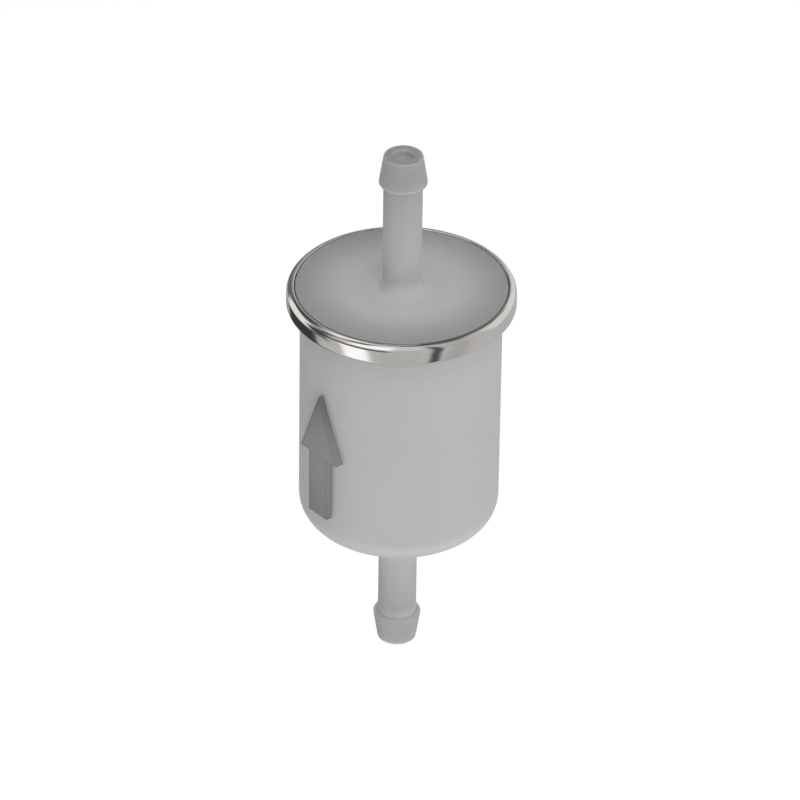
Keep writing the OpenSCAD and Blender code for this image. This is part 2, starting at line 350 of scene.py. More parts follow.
def outlet_painted_shade(board, here):
    """Painted shade along the stem, towards the tip and on the barb's crest."""
    stem = board.step(here.z, top_z, top_z + 3 * MM, 1.0, STEM_TINT)
    tip = board.step(here.z, top_z + 4 * MM, tip_z, 1.0, OUTLET_TIP_TINT)
    from_crest = (here.z - (tip_z - crest_h)).maths("ABSOLUTE")
    crest = board.step(from_crest, 0.1 * MM, 0.4 * MM, OUTLET_CREST_TINT, 1.0)
    return stem * tip * crest


def inlet_painted_light(board, here):
    """Painted shade at the tip and crest, painted light on the shoulder, most in the crease by the stem."""
    tip = board.step(here.z, 0.0, base_z, INLET_TIP_TINT, 1.0)
    above_crest = board.step(here.z, crest_h - 0.2 * MM, crest_h - 0.05 * MM)
    near_crest = board.step(here.z, crest_h + 0.3 * MM, crest_h + 2.5 * MM, 1.0, 0.0)
    by_stem = board.step(here.r, stem_r + 0.3 * MM, stem_r + 0.7 * MM, 1.0, 0.0)
    in_crease = by_stem * board.step(here.z, crest_h + 0.2 * MM, crest_h + 0.8 * MM, 1.0, 0.0)
    lift = SHOULDER_LIFT * near_crest + CREASE_LIFT * in_crease
    by_crest = board.step((here.z - crest_h).maths("ABSOLUTE"), 0.2 * MM, 0.5 * MM, 1.0, 0.0)
    on_crest = by_crest * board.step(here.r, barb_r - 0.4 * MM, barb_r - 0.15 * MM)
    return tip * (1.0 + lift * above_crest) * within(on_crest, INLET_CREST_TINT)


print(f"nipple tints: outlet tip {STEM_TINT * OUTLET_TIP_TINT:.2f}, inlet tip {INLET_TIP_TINT}")

# %% Passage tint
# Painted light inside the passages.
PASSAGE_TINT = 1.35
DEEP_TINT = 2.3


def from_middle(here):
    """How far up or down this point is from the middle of the filter."""
    return (here.z - filter_centre.z).maths("ABSOLUTE")


def passage_painted_light(board, here):
    """Painted light inside the passages, brightest where they are deep."""
    half = tip_z / 2
    depth = board.step(from_middle(here), half - 2.5 * MM, half - 0.3 * MM, DEEP_TINT, PASSAGE_TINT)
    in_passage = board.step(here.r, passage_r + HAIR, passage_r + 5 * HAIR, 1.0, 0.0)
    return within(in_passage, depth)


print(f"passage tint {PASSAGE_TINT} at a tip, {DEEP_TINT} deep inside")

# %% [markdown]
# The plastic itself is one Principled shader. A fine spark-eroded mould surface breaks the sheen up, and
# the mould's split line shows faintly along both nipples. Both are bumps, a few hundredths of a millimetre
# deep at most.

# %% Milky plastic
MILKY_GREY = 0.55
SPLIT_HALF = 0.08 * MM


def milky_plastic():
    material, board, shader = finish("milky_nylon", {
        "Subsurface Weight": 1.0,
        "Subsurface Radius": (1.0, 1.0, 1.0),
        "Subsurface Scale": 2.8 * MM,
        "IOR": 1.5,
    })
    here = board.place()
    clouds = board.noise(here.vector, 90)
    grain = board.noise(here.vector, 3200, 3.0)
    on_nipple = board.step(from_middle(here), body_half, body_half + MM)
    split_line = on_nipple * board.step(here.x.maths("ABSOLUTE"), SPLIT_HALF / 3, SPLIT_HALF, 1.0, 0.0)
    tint = 0.97 + 0.06 * clouds
    # Each part's tint is painted light and shade.
    for part_tint in (plate_painted_light, cup_painted_shade, outlet_painted_shade, inlet_painted_light, passage_painted_light):
        tint = tint * part_tint(board, here)
    feed(board, shader, Base_Color=MILKY_GREY * tint, Roughness=0.42 + 0.16 * clouds,
         Normal=board.bump(grain + 2.0 * split_line, 0.02 * MM, 0.5))
    return material


milky = milky_plastic()
print("made", milky.name)

# %% [markdown]
# ## Bright rolled metal
# The band is stainless strip, polished and then rolled over both flanges. Rolling leaves hair lines that
# run round the band, so the noise only sees the radius and the height: it is fine across the band and
# constant round it.

# %% Bright metal
BRIGHT_STEEL = (0.94, 0.91, 0.885, 1)
SMEARED_STEEL = (0.87, 0.84, 0.815, 1)


def round_the_axis(board, here):
    """A place that only changes across a turned surface, so that a pattern runs round the axis."""
    return board.node("ShaderNodeCombineXYZ", {}, {"X": here.r, "Y": here.z})


def bright_metal():
    material, board, shader = finish("bright_strip", {"Metallic": 1.0})
    here = board.place()
    hair_lines = board.noise(round_the_axis(board, here), 9000)
    smears = board.noise(here.vector, 160)
    steel = board.mix(board.step(smears, 0.3, 0.7), SMEARED_STEEL, BRIGHT_STEEL)
    feed(board, shader, Base_Color=steel, Roughness=0.07 + 0.05 * hair_lines + 0.04 * smears,
         Normal=board.bump(hair_lines, 0.002 * MM, 0.3))
    return material


bright = bright_metal()
print("made", bright.name)

# %% [markdown]
# ## Grey arrow plastic
# The arrow is a second, filled grade of plastic, so it is opaque and duller than the cup, with a coarser
# grain. Its grey carries painted shade round the outline, at both ends, along the foot and to one side.
# So the finish has to know the outline: a shaft half as wide as the head, and a head that narrows evenly
# to its point.

# %% Arrow outline
ARROW_HEAD = 12.6 * MM
ARROW_EASE = 0.1 * MM
ARROW_RIM = 0.9 * MM
shaft_half = arrow_high.x / 2
shoulder_z = arrow_high.z - ARROW_HEAD


def from_outline(board, here):
    """How far in from the arrow's outline this point is, measured straight across."""
    in_head = board.step(here.z, shoulder_z - HAIR, shoulder_z + HAIR)
    head_half = (arrow_high.z - here.z) * (arrow_high.x / ARROW_HEAD)
    return shaft_half + in_head * (head_half - shaft_half) - here.x.maths("ABSOLUTE")


say(arrow_width=2 * arrow_high.x, head_from=shoulder_z, head_to=arrow_high.z)

# %% Grey plastic
ARROW_GREY = 0.30
# Painted shade and painted light on the arrow's grey.
ARROW_END_TINT = 0.75
ARROW_TIP_TINT = 0.66
ARROW_RIM_TINT = 0.87
ARROW_FLANK_TINT = 1.04
ARROW_FOOT_TINT = 0.8
ARROW_SIDE_TINT = 0.9


def arrow_painted_shade(board, here):
    """Painted shade at both ends, round the outline, at the foot and to one side; painted light on the
    flanks.
    """
    start_z = arrow_low.z
    length = arrow_high.z - start_z
    face_y = arrow_low.y
    low_end = board.step(here.z, start_z - 0.15 * length, start_z + 0.35 * length, ARROW_END_TINT, 1.0)
    high_end = board.step(here.z, start_z + 0.6 * length, arrow_high.z, 1.0, ARROW_TIP_TINT)
    flank = board.step(here.y, face_y + ARROW_EASE / 2, face_y + 2 * ARROW_EASE, 1.0, ARROW_FLANK_TINT)
    foot = board.step(here.y, face_y + MM, face_y + 2.5 * MM, 1.0, ARROW_FOOT_TINT)
    side = board.step(here.x, arrow_low.x, shaft_half, ARROW_SIDE_TINT, 1.0)
    rim = board.step(from_outline(board, here), 0.0, ARROW_RIM, ARROW_RIM_TINT, 1.0)
    return low_end * high_end * flank * foot * side * rim


def grey_plastic():
    material, board, shader = finish("grey_filled_nylon", {"IOR": 1.48})
    here = board.place()
    clouds = board.noise(here.vector, 120)
    grain = board.noise(here.vector, 2600, 3.0)
    tint = arrow_painted_shade(board, here) * (0.94 + 0.12 * clouds)
    feed(board, shader, Base_Color=ARROW_GREY * tint, Roughness=0.5 + 0.15 * clouds,
         Normal=board.bump(grain, 0.03 * MM, 0.6))
    return material


grey_nylon = grey_plastic()
print("made", grey_nylon.name)

# %% [markdown]
# ## Rubber, mouldings and plastisol
# The plainer materials inside differ in colour, sheen and grain, not in kind, so one function makes them
# all: rubber for the seals, off-white mouldings for the caps and the core tube, white hot melt for the
# bands round the pleats, and the orange plastisol that the paper is set in, which is soft and lets a
# little light in.


# %% Plain finishes
def plain(name, colour, roughness, grain_scale, grain_depth, slots=None):
    """One colour with faint clouds in it and a fine grain on it."""
    material, board, shader = finish(name, slots or {})
    here = board.place()
    clouds = board.noise(here.vector, 140)
    grain = board.noise(here.vector, grain_scale, 3.0)
    dull = [0.85 * part for part in colour]
    feed(board, shader, Base_Color=board.mix(board.step(clouds, 0.3, 0.7), (*dull, 1), (*colour, 1)),
         Roughness=roughness + 0.12 * clouds, Normal=board.bump(grain, grain_depth, 0.6))
    return material


rubber = plain("nitrile_rubber", (0.022, 0.022, 0.023), 0.6, 1800, 0.02 * MM, {"Specular IOR Level": 0.35})
off_white = plain("off_white_nylon", (0.75, 0.74, 0.70), 0.38, 2600, 0.015 * MM)
hot_melt = plain("white_hot_melt", (0.86, 0.85, 0.80), 0.30, 700, 0.03 * MM)
plastisol = plain("orange_plastisol", (0.85, 0.33, 0.05), 0.32, 500, 0.04 * MM,
                  {"Subsurface Weight": 0.3, "Subsurface Scale": 0.8 * MM})
print("made", ", ".join(material.name for material in (rubber, off_white, hot_melt, plastisol)))

# %% [markdown]
# ## Paper and drawn steel
# Filter paper is a mat of resin-coated fibres, longer along the sheet than across it: the noise is
# squeezed along the axis for the fibres, and a slower one gives the resin's blotches. The spring, its
# seat and the clip are steel that was drawn or rolled. The lines run round the axis on the spring and its
# seat, and along the strip on the clip.

# %% Filter paper
PALE_PAPER = (0.78, 0.69, 0.48, 1)
DARK_PAPER = (0.62, 0.51, 0.31, 1)


def filter_paper():
    scatter = {"Subsurface Weight": 0.15, "Subsurface Scale": 0.3 * MM}
    material, board, shader = finish("resin_paper", scatter)
    here = board.place()
    fibres = board.noise(board.stretched(here.vector, (1.0, 1.0, 0.25)), 2600, 4.0)
    blotches = board.noise(here.vector, 260)
    tone = board.step(0.6 * fibres + 0.4 * blotches, 0.35, 0.65)
    feed(board, shader, Base_Color=board.mix(tone, DARK_PAPER, PALE_PAPER),
         Roughness=0.78 + 0.15 * fibres, Normal=board.bump(fibres, 0.05 * MM, 0.7))
    return material


paper = filter_paper()
print("made", paper.name)


# %% Drawn steel
def drawn_steel(name, colour, along_strip=False):
    """Steel with the lines that drawing or rolling leaves."""
    material, board, shader = finish(name, {"Metallic": 1.0})
    here = board.place()
    lines_at = round_the_axis(board, here)
    if along_strip:
        lines_at = board.stretched(here.vector, (1.0, 1.0, 0.02))
    lines = board.noise(lines_at, 6000, 3.0)
    dull = [0.8 * part for part in colour]
    feed(board, shader, Base_Color=board.mix(lines, (*dull, 1), (*colour, 1)), Roughness=0.24 + 0.2 * lines,
         Normal=board.bump(lines, 0.004 * MM, 0.5))
    return material


spring_steel = drawn_steel("plated_spring_steel", (0.62, 0.62, 0.63))
strip_steel = drawn_steel("clip_strip", (0.52, 0.52, 0.53), along_strip=True)
print("made", spring_steel.name, "and", strip_steel.name)

# %% [markdown]
# ## Modelling helpers
# Most pieces are turned: half of the section is drawn as a closed loop, its corners are rounded, and it
# is spun round the axis. Operators act on what is selected, so a helper goes into edit mode with nothing
# selected, and others select all of a piece to weld it or to turn its faces outwards.


# %% Edit mode
def deselect():
    bpy.ops.object.select_all(action="DESELECT")


def edit(piece):
    """Goes into edit mode on one piece with nothing selected."""
    deselect()
    piece.select_set(True)
    bpy.context.view_layer.objects.active = piece
    bpy.ops.object.mode_set(mode="EDIT")
    bpy.ops.mesh.select_mode(type="VERT")
    bpy.ops.mesh.select_all(action="DESELECT")
    return bmesh.from_edit_mesh(piece.data)


def leave_edit():
    bpy.ops.object.mode_set(mode="OBJECT")


def weld():
    """Merges corners that lie on each other."""
    bpy.ops.mesh.select_all(action="SELECT")
    bpy.ops.mesh.remove_doubles(threshold=HAIR / 10)


def face_outwards():
    """Turns every face of the piece outwards and leaves edit mode."""
    bpy.ops.mesh.select_all(action="SELECT")
    bpy.ops.mesh.normals_make_consistent(inside=False)
    leave_edit()


print("edit mode helpers ready")

# %% [markdown]
# A loop starts as a circle with one vertex for each corner, and each vertex is pulled to its place. A
# vertex bevel then rounds a corner with an arc, and the spin turns the loop into a closed shell whose
# faces are made to point outwards.

# %% Turned pieces
SIDES = 144
ROUND_STEPS = 8


def loop(name, places):
    """A closed loop through these places."""
    deselect()
    bpy.ops.mesh.primitive_circle_add(vertices=len(places), radius=MM)
    piece = bpy.context.active_object
    piece.name = name
    for vertex, place in zip(piece.data.vertices, places):
        vertex.co = place
    return piece


def round_corner(piece, r, z, size):
    """Rounds the loop's corner at this radius and height."""
    mesh = edit(piece)
    corner = min(mesh.verts, key=lambda v: (v.co - Vector((r, 0, z))).length)
    corner.select_set(True)
    mesh.select_flush(True)
    bmesh.update_edit_mesh(piece.data)
    bpy.ops.mesh.bevel(offset=size, segments=ROUND_STEPS, affect="VERTICES")
    leave_edit()


def section(name, corners, rounds):
    """A loop in the plane y = 0 through (radius, height) corners. Rounds holds sizes by corner number."""
    piece = loop(name, [(r, 0, z) for r, z in corners])
    for number, size in rounds.items():
        round_corner(piece, *corners[number], size)
    return piece


def turned(name, corners, rounds):
    """A closed, outward-facing shell: a section spun round the axis."""
    piece = section(name, corners, rounds)
    edit(piece)
    bpy.ops.mesh.select_all(action="SELECT")
    bpy.ops.mesh.spin(steps=SIDES, angle=math.tau, center=(0, 0, 0), axis=(0, 0, 1))
    weld()
    face_outwards()
    return piece


print("a turned piece has", SIDES, "sides")

# %% [markdown]
# Ribs and the arrow aren't turned: their loops are filled and drawn out sideways into bars. One rib is
# modelled, and the others are copies turned round the axis, each with a mesh of its own.

# %% Bars and spokes
RIBS = 6
RIB_T = 1.2 * MM
ROOT = 0.5 * MM


def bar(piece, thickness):
    """Fills the loop and draws it out along Y into a closed bar."""
    edit(piece)
    bpy.ops.mesh.select_all(action="SELECT")
    bpy.ops.mesh.edge_face_add()
    bpy.ops.mesh.extrude_region_move(TRANSFORM_OT_translate={"value": (0, thickness, 0)})
    face_outwards()


def spokes(corners, rounds):
    """Upright walls that stand out like spokes, each with this half section."""
    first = section("spoke", corners, rounds)
    first.data.transform(Matrix.Translation((0, -RIB_T / 2, 0)))
    bar(first, RIB_T)
    first.data.transform(Matrix.Rotation(math.pi / RIBS, 4, "Z"))
    walls = [first]
    for number in range(1, RIBS):
        wall = bpy.data.objects.new("spoke", first.data.copy())
        bpy.context.scene.collection.objects.link(wall)
        wall.data.transform(Matrix.Rotation(math.tau * number / RIBS, 4, "Z"))
        walls.append(wall)
    deselect()
    for wall in walls:
        wall.select_set(True)
    bpy.context.view_layer.objects.active = first
    bpy.ops.object.join()
    return first


print("ribs come in rings of", RIBS)

# %% [markdown]
# Ribs are joined onto their shell with a boolean, so that each moulding is one closed mesh. Then a piece
# is dressed: its shallow edges are smoothed, and it gets its finish, its place on the frame and the CAD
# pieces that it stands for.


# %% Joining and dressing
def join_onto(piece, tool, operation="UNION"):
    """Applies a boolean with a second piece, which is then removed."""
    deselect()
    bpy.context.view_layer.objects.active = piece
    modifier = piece.modifiers.new("join", "BOOLEAN")
    modifier.object = tool
    modifier.operation = operation
    modifier.solver = "EXACT"
    bpy.ops.object.modifier_apply(modifier=modifier.name)
    bpy.data.objects.remove(tool)


def dress(piece, material, slot, *replaced, angle=35):
    """Smooths a finished piece, gives it its finish, and hangs it on the frame."""
    deselect()
    piece.select_set(True)
    bpy.context.view_layer.objects.active = piece
    bpy.ops.object.shade_smooth_by_angle(angle=math.radians(angle))
    piece.data.materials.clear()
    piece.data.materials.append(material)
    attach(piece, "root")
    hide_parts(*replaced)
    print(f"{piece.name}: {len(piece.data.polygons)} faces, stands for {', '.join(replaced)}")


print("joining and dressing ready")

# %% [markdown]
# ## Cup
# The cup is one moulding with the inlet nipple. From its tip the section runs up over the barb, along the
# stem, round the base, up the wall and out to the flange that the band grips, then back down inside to
# the floor and its boss.

# %% Cup section
barb_cone = crest_h - barb_land
CREST_ROUND = 0.25 * MM
NIPPLE_BLEND = 1.0 * MM
BASE_ROUND = 5.2 * MM
EDGE = 0.12 * MM
cap_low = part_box("lower_end_cap")[0]
boss_r = radius("lower_end_cap", cap_low.z, cap_low.z)
floor_z = height("lower_housing", boss_r, boss_r)
boss_z = height("lower_housing", passage_r, passage_r, max)
flange_z = height("lower_housing", body_r + MM, flange_r)
inner_round = BASE_ROUND - (body_r - cup_r)
say(floor_at=floor_z, boss_at=boss_z, boss_radius=boss_r, flange_at=flange_z)


def nipple(tip, direction):
    """Corners of a nipple's outside, from its tip: direction is 1 if it points down, -1 if up."""
    return [(passage_r, tip), (stem_r, tip), (barb_r, tip + direction * barb_cone),
            (barb_r, tip + direction * crest_h), (stem_r, tip + direction * crest_h)]


nipple_rounds = {0: EDGE, 1: TIP_ROUND, 2: EDGE, 3: CREST_ROUND}
say(barb_cone=barb_cone, barb_land=barb_land, barb_crest_at=crest_h)

# %% Cup
cup_corners = nipple(cup_low.z, 1) + [
    (stem_r, base_z), (body_r, base_z), (body_r, flange_z), (flange_r, flange_z), (flange_r, rim_z),
    (cup_r, rim_z), (cup_r, floor_z), (boss_r, floor_z), (boss_r, boss_z), (passage_r, boss_z)]
cup_rounds = {**nipple_rounds, 5: NIPPLE_BLEND, 6: BASE_ROUND, 8: EDGE, 9: EDGE, 11: inner_round}
cup_shell = turned("cup_shell", cup_corners, cup_rounds)
print("cup section has", len(cup_corners), "corners, of which", len(cup_rounds), "are rounded")

# %% [markdown]
# Six guide ribs stand inside the cup, from its floor to just above the closed cap, and keep the element
# in the middle while fuel flows between them. They are rooted half a millimetre into the wall, so the
# union leaves no seam.

# %% Guide ribs
GUIDE_GAP = 0.1 * MM
guide_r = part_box("lower_end_cap")[1].x + GUIDE_GAP
guide_top = height("lower_housing", guide_r, guide_r + GUIDE_GAP, max)
guide_corners = [(guide_r, floor_z - ROOT), (cup_r + ROOT, floor_z - ROOT), (cup_r + ROOT, guide_top),
                 (guide_r, guide_top)]
join_onto(cup_shell, spokes(guide_corners, {1: inner_round + ROOT, 3: 2 * EDGE}))
say(guide_radius=guide_r, guide_top=guide_top)
dress(cup_shell, milky, "housing_plastic", "lower_housing")

# %% [markdown]
# ## Cover
# The cover mirrors the cup: the outlet nipple, a flat plate, a rounded rim for the band, a skirt that
# finds the cup's mouth, and the spigot that the element's cap slides onto, with a groove for its rubber
# ring.

# %% Cover section
SKIRT_DEPTH = 3 * MM
SKIRT_WALL = 1.2 * MM
cover_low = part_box("upper_cover")[0]
skirt_z = gasket_low.z - SKIRT_DEPTH
skirt_r = radius("upper_cover", skirt_z, skirt_z)
skirt_inner = skirt_r - SKIRT_WALL
plate_under = height("upper_cover", skirt_inner, skirt_inner, max)
seal_low, seal_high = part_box("outlet_seal")
groove_r = radius("outlet_seal", seal_low.z, seal_high.z, min)
spigot_r = radius("upper_cover", cover_low.z, cover_low.z)
say(lip_radius=lip_r, skirt_radius=skirt_r, spigot_radius=spigot_r, groove_radius=groove_r)
say(plate_underside_at=plate_under, skirt_down_to=skirt_z)

# %% Cover
RIM_ROUND = 0.95 * MM
GROOVE_HALF = 1.0 * MM
LIP_GAP = 0.05 * MM
PLATE_GAP = 0.1 * MM
plate_r = lip_r - PLATE_GAP
strip_t = ring_r - flange_r - LIP_GAP
shelf_z = top_z - strip_t - LIP_GAP
groove_mid = (seal_low.z + seal_high.z) / 2
groove_low = groove_mid - GROOVE_HALF
groove_high = groove_mid + GROOVE_HALF
cover_corners = nipple(tip_z, -1) + [
    (stem_r, top_z), (plate_r, top_z), (plate_r, shelf_z), (flange_r, shelf_z),
    (flange_r, gasket_high.z), (skirt_r, gasket_high.z), (skirt_r, skirt_z), (skirt_inner, skirt_z),
    (skirt_inner, plate_under), (spigot_r, plate_under), (spigot_r, groove_high), (groove_r, groove_high),
    (groove_r, groove_low), (spigot_r, groove_low), (spigot_r, cover_low.z), (passage_r, cover_low.z)]
cover_rounds = {**nipple_rounds, 5: NIPPLE_BLEND, 6: 2 * EDGE, 8: RIM_ROUND, 11: EDGE, 19: 2 * EDGE}
cover_shell = turned("cover_shell", cover_corners, cover_rounds)
print("cover section has", len(cover_corners), "corners, of which", len(cover_rounds), "are rounded")

# %% [markdown]
# Six stop ribs hang under the plate. The spring presses the element up against them, so they are what
# sets its height, and the fuel finds its way between them.

# %% Stop ribs
stop_r = radius("core_tube", 0, tip_z, min)
stop_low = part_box("upper_end_cap")[1].z
stop_outer = skirt_r - SKIRT_WALL / 2
stop_top = plate_under + ROOT
stop_corners = [(stop_r, stop_low), (stop_outer, stop_low), (stop_outer, stop_top), (stop_r, stop_top)]
join_onto(cover_shell, spokes(stop_corners, {0: 2 * EDGE}))
say(stop_ribs_down_to=stop_low)
dress(cover_shell, milky, "housing_plastic", "upper_cover")

# %% [markdown]
# ## Rolled band
# The band starts as a short tube of thin strip. Its lower edge is turned in under the cup's flange, and
# its upper edge is rolled down onto the cover, which squeezes the gasket. The section is the strip's own
# outline, with the outside and the inside of each bend rounded about the same centre.

# %% Band
BAND_ROLL = 1.4 * MM
BAND_BEND = 0.5 * MM
STRIP_EDGE = 0.18 * MM
foot_r = radius("crimp_ring", ring_low.z, ring_low.z, min)
inner_r = ring_r - strip_t
band_corners = [
    (lip_r, top_z), (ring_r, top_z), (ring_r, ring_low.z), (foot_r, ring_low.z),
    (foot_r, ring_low.z + strip_t), (inner_r, ring_low.z + strip_t), (inner_r, top_z - strip_t),
    (lip_r, top_z - strip_t)]
band_rounds = {0: STRIP_EDGE, 1: BAND_ROLL, 2: BAND_BEND, 3: STRIP_EDGE, 4: STRIP_EDGE,
               5: BAND_BEND - strip_t, 6: BAND_ROLL - strip_t, 7: STRIP_EDGE}
joint_band = turned("joint_band", band_corners, band_rounds)
dress(joint_band, bright, "ring_metal", "crimp_ring", angle=60)

# %% [markdown]
# ## Flow arrow
# The arrow is a flat pad that stands a millimetre proud of the cup. Its outline has seven corners. The
# loop is filled, drawn out into a bar, its front edges are eased, and a boolean with the cup's own
# cylinder curves its back.


# %% Arrow
def arrow_outline():
    """The arrow's corners as (x, height), from the shaft's lower left one."""
    half = arrow_high.x
    return [(-shaft_half, arrow_low.z), (shaft_half, arrow_low.z), (shaft_half, shoulder_z),
            (half, shoulder_z), (0, arrow_high.z), (-half, shoulder_z), (-shaft_half, shoulder_z)]


def flow_arrow_pad():
    """The arrow as a bar with eased front edges and a hollow back that lies on the cup."""
    piece = section("arrow_pad", arrow_outline(), {})
    piece.data.transform(Matrix.Translation((0, arrow_low.y, 0)))
    bar(piece, body_r / 2)
    mesh = edit(piece)
    for edge in mesh.edges:
        edge.select_set(all(v.co.y < arrow_low.y + HAIR for v in edge.verts))
    bmesh.update_edit_mesh(piece.data)
    bpy.ops.mesh.bevel(offset=ARROW_EASE, segments=3, affect="EDGES")
    leave_edit()
    deselect()
    bpy.ops.mesh.primitive_cylinder_add(vertices=SIDES, radius=body_r, depth=top_z - base_z,
                                        location=(0, 0, (top_z + base_z) / 2))
    join_onto(piece, bpy.context.active_object, "DIFFERENCE")
    return piece


arrow_pad = flow_arrow_pad()
dress(arrow_pad, grey_nylon, "arrow_plastic", "flow_arrow", angle=30)

# %% [markdown]
# ## Pleated paper
# One sheet is folded into a star and closed into a ring. Its middle line is a loop with four corners to a
# pleat: two for the ridge, two for the valley. The corners are rounded, as paper won't take a sharp fold,
# the loop is drawn up to the sheet's height, and Solidify gives it the paper's thickness on both sides of
# the middle line.

# %% Paper
PLEATS = 32
PAPER_T = 0.3 * MM
FOLD_HALF = 0.225 * MM
FOLD_ROUND = 0.14 * MM
paper_low, paper_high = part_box("filter_media")
ridge_r = paper_high.x - PAPER_T / 2
valley_r = radius("filter_media", paper_low.z, paper_low.z, min) + PAPER_T / 2


def fold_corners():
    """Corners of the paper's middle line, four to a pleat."""
    places = []
    for pleat in range(PLEATS):
        for r, turn in ((ridge_r, pleat), (valley_r, pleat + 0.5)):
            angle = math.tau * turn / PLEATS
            for side in (-FOLD_HALF, FOLD_HALF):
                places.append((r * math.cos(angle) - side * math.sin(angle),
                               r * math.sin(angle) + side * math.cos(angle), paper_low.z))
    return places


def pleated_sheet():
    """The folded sheet: the middle line rounded, drawn up and given its thickness."""
    piece = loop("pleated_paper", fold_corners())
    edit(piece)
    bpy.ops.mesh.select_all(action="SELECT")
    bpy.ops.mesh.bevel(offset=FOLD_ROUND, segments=3, affect="VERTICES")
    bpy.ops.mesh.select_all(action="SELECT")
    bpy.ops.mesh.extrude_region_move(TRANSFORM_OT_translate={"value": (0, 0, paper_high.z - paper_low.z)})
    leave_edit()
    solid = piece.modifiers.new("thickness", "SOLIDIFY")
    solid.thickness = PAPER_T
    solid.offset = 0
    solid.use_even_offset = True
    bpy.ops.object.modifier_apply(modifier=solid.name)
    edit(piece)
    face_outwards()
    return piece


pleated_paper = pleated_sheet()
dress(pleated_paper, paper, "filter_paper", "filter_media")

# %% [markdown]
# ## Spring
# The spring has one closed turn at each end, so that it stands square, and open turns between. A closed
# turn climbs by a little over two wire radii, so that it almost rests on its own end. The wire follows a
# curve whose round bevel is the wire's thickness, with both ends capped, and the curve is then turned
# into a mesh.

# %% Spring wire
CLOSED_TURNS = 1
OPEN_TURNS = 2
TURN_STEPS = 48
WIRE_STEPS = 5
CLOSED_CLIMB = 2.1
spring_low, spring_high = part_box("element_spring")
coil_outer = radius("element_spring", spring_low.z, spring_high.z)
coil_inner = radius("element_spring", spring_low.z, spring_high.z, min)
wire_r = (coil_outer - coil_inner) / 2
coil_r = (coil_outer + coil_inner) / 2
closed_pitch = CLOSED_CLIMB * wire_r
open_pitch = (spring_high.z - spring_low.z - 2 * wire_r - 2 * CLOSED_TURNS * closed_pitch) / OPEN_TURNS


def coil_height(turn):
    """Height of the wire's middle after this many turns."""
    open_part = min(max(turn - CLOSED_TURNS, 0), OPEN_TURNS)
    return spring_low.z + wire_r + closed_pitch * (turn - open_part) + open_pitch * open_part


def coil_spring():
    """The spring as a thick curve that is turned into a mesh."""
    path = bpy.data.curves.new("spring_path", "CURVE")
    path.dimensions = "3D"
    path.bevel_depth = wire_r - HAIR / 4
    path.bevel_resolution = WIRE_STEPS
    path.use_fill_caps = True
    steps = (OPEN_TURNS + 2 * CLOSED_TURNS) * TURN_STEPS
    line = path.splines.new("POLY")
    line.points.add(steps)
    for number, point in enumerate(line.points):
        turn = number / TURN_STEPS
        angle = math.tau * turn
        point.co = (coil_r * math.cos(angle), coil_r * math.sin(angle), coil_height(turn), 1)
    holder = bpy.data.objects.new("spring_path", path)
    bpy.context.scene.collection.objects.link(holder)
    deselect()
    holder.select_set(True)
    bpy.context.view_layer.objects.active = holder
    bpy.ops.object.convert(target="MESH")
    piece = bpy.context.active_object
    piece.name = "spring_wire"
    edit(piece)
    weld()
    face_outwards()
    return piece


spring_wire = coil_spring()
dress(spring_wire, spring_steel, "spring_steel", "element_spring")

# %% [markdown]
# ## Pieces carried over
# The remaining pieces are as simple in life as in the CAD model: a flat gasket, stamped and moulded
# rings, a folded clip, a perforated tube. They keep their CAD shapes and take the finishes made above.

# %% Carried-over pieces
FINISHES = {
    "flange_gasket": rubber, "outlet_seal": rubber, "seam_clip": strip_steel, "pleat_bands": hot_melt,
    "core_tube": off_white, "upper_end_cap": off_white, "lower_end_cap": off_white,
    "upper_bond": plastisol, "lower_bond": plastisol, "spring_seat": spring_steel,
}
for node, material in FINISHES.items():
    for material_slot in nodes[node].material_slots:
        material_slot.material = material
    print(node, "gets", material.name)

# %% [markdown]
# ## Floor
# The filter hangs a little above a wide pale floor, lit from within so that it stays even and close to
# white.

# %% Floor
FLOOR_DROP = 120 * MM
FLOOR_SIZE = 12
deselect()
bpy.ops.mesh.primitive_plane_add(size=FLOOR_SIZE, location=(0, 0, -FLOOR_DROP))
floor = bpy.context.active_object
floor.name = "floor"
floor_paint = finish("floor_paint", {
    "Base Color": (0.9, 0.9, 0.9, 1),
    "Roughness": 0.9,
    "Specular IOR Level": 0.0,
    "Emission Color": (1, 1, 1, 1),
    "Emission Strength": 0.56,
})[0]
floor.data.materials.append(floor_paint)
floor.visible_glossy = False
print("floor is", FLOOR_SIZE, "m wide, at", -FLOOR_DROP, "m")

# %% [markdown]
# ## Studio
# Plastic wants soft, even light, and bright metal wants something to mirror. So the studio is even for
# everything but reflections, and reflections see a room of cards. Each is a patch of sky: its azimuth to
# the right of the camera, its half width, the lowest and highest elevations that it spans, in degrees,
# and its brightness. Softboxes are bright, flags are dark and screens are grey. Later cards hang in front
# of earlier ones.

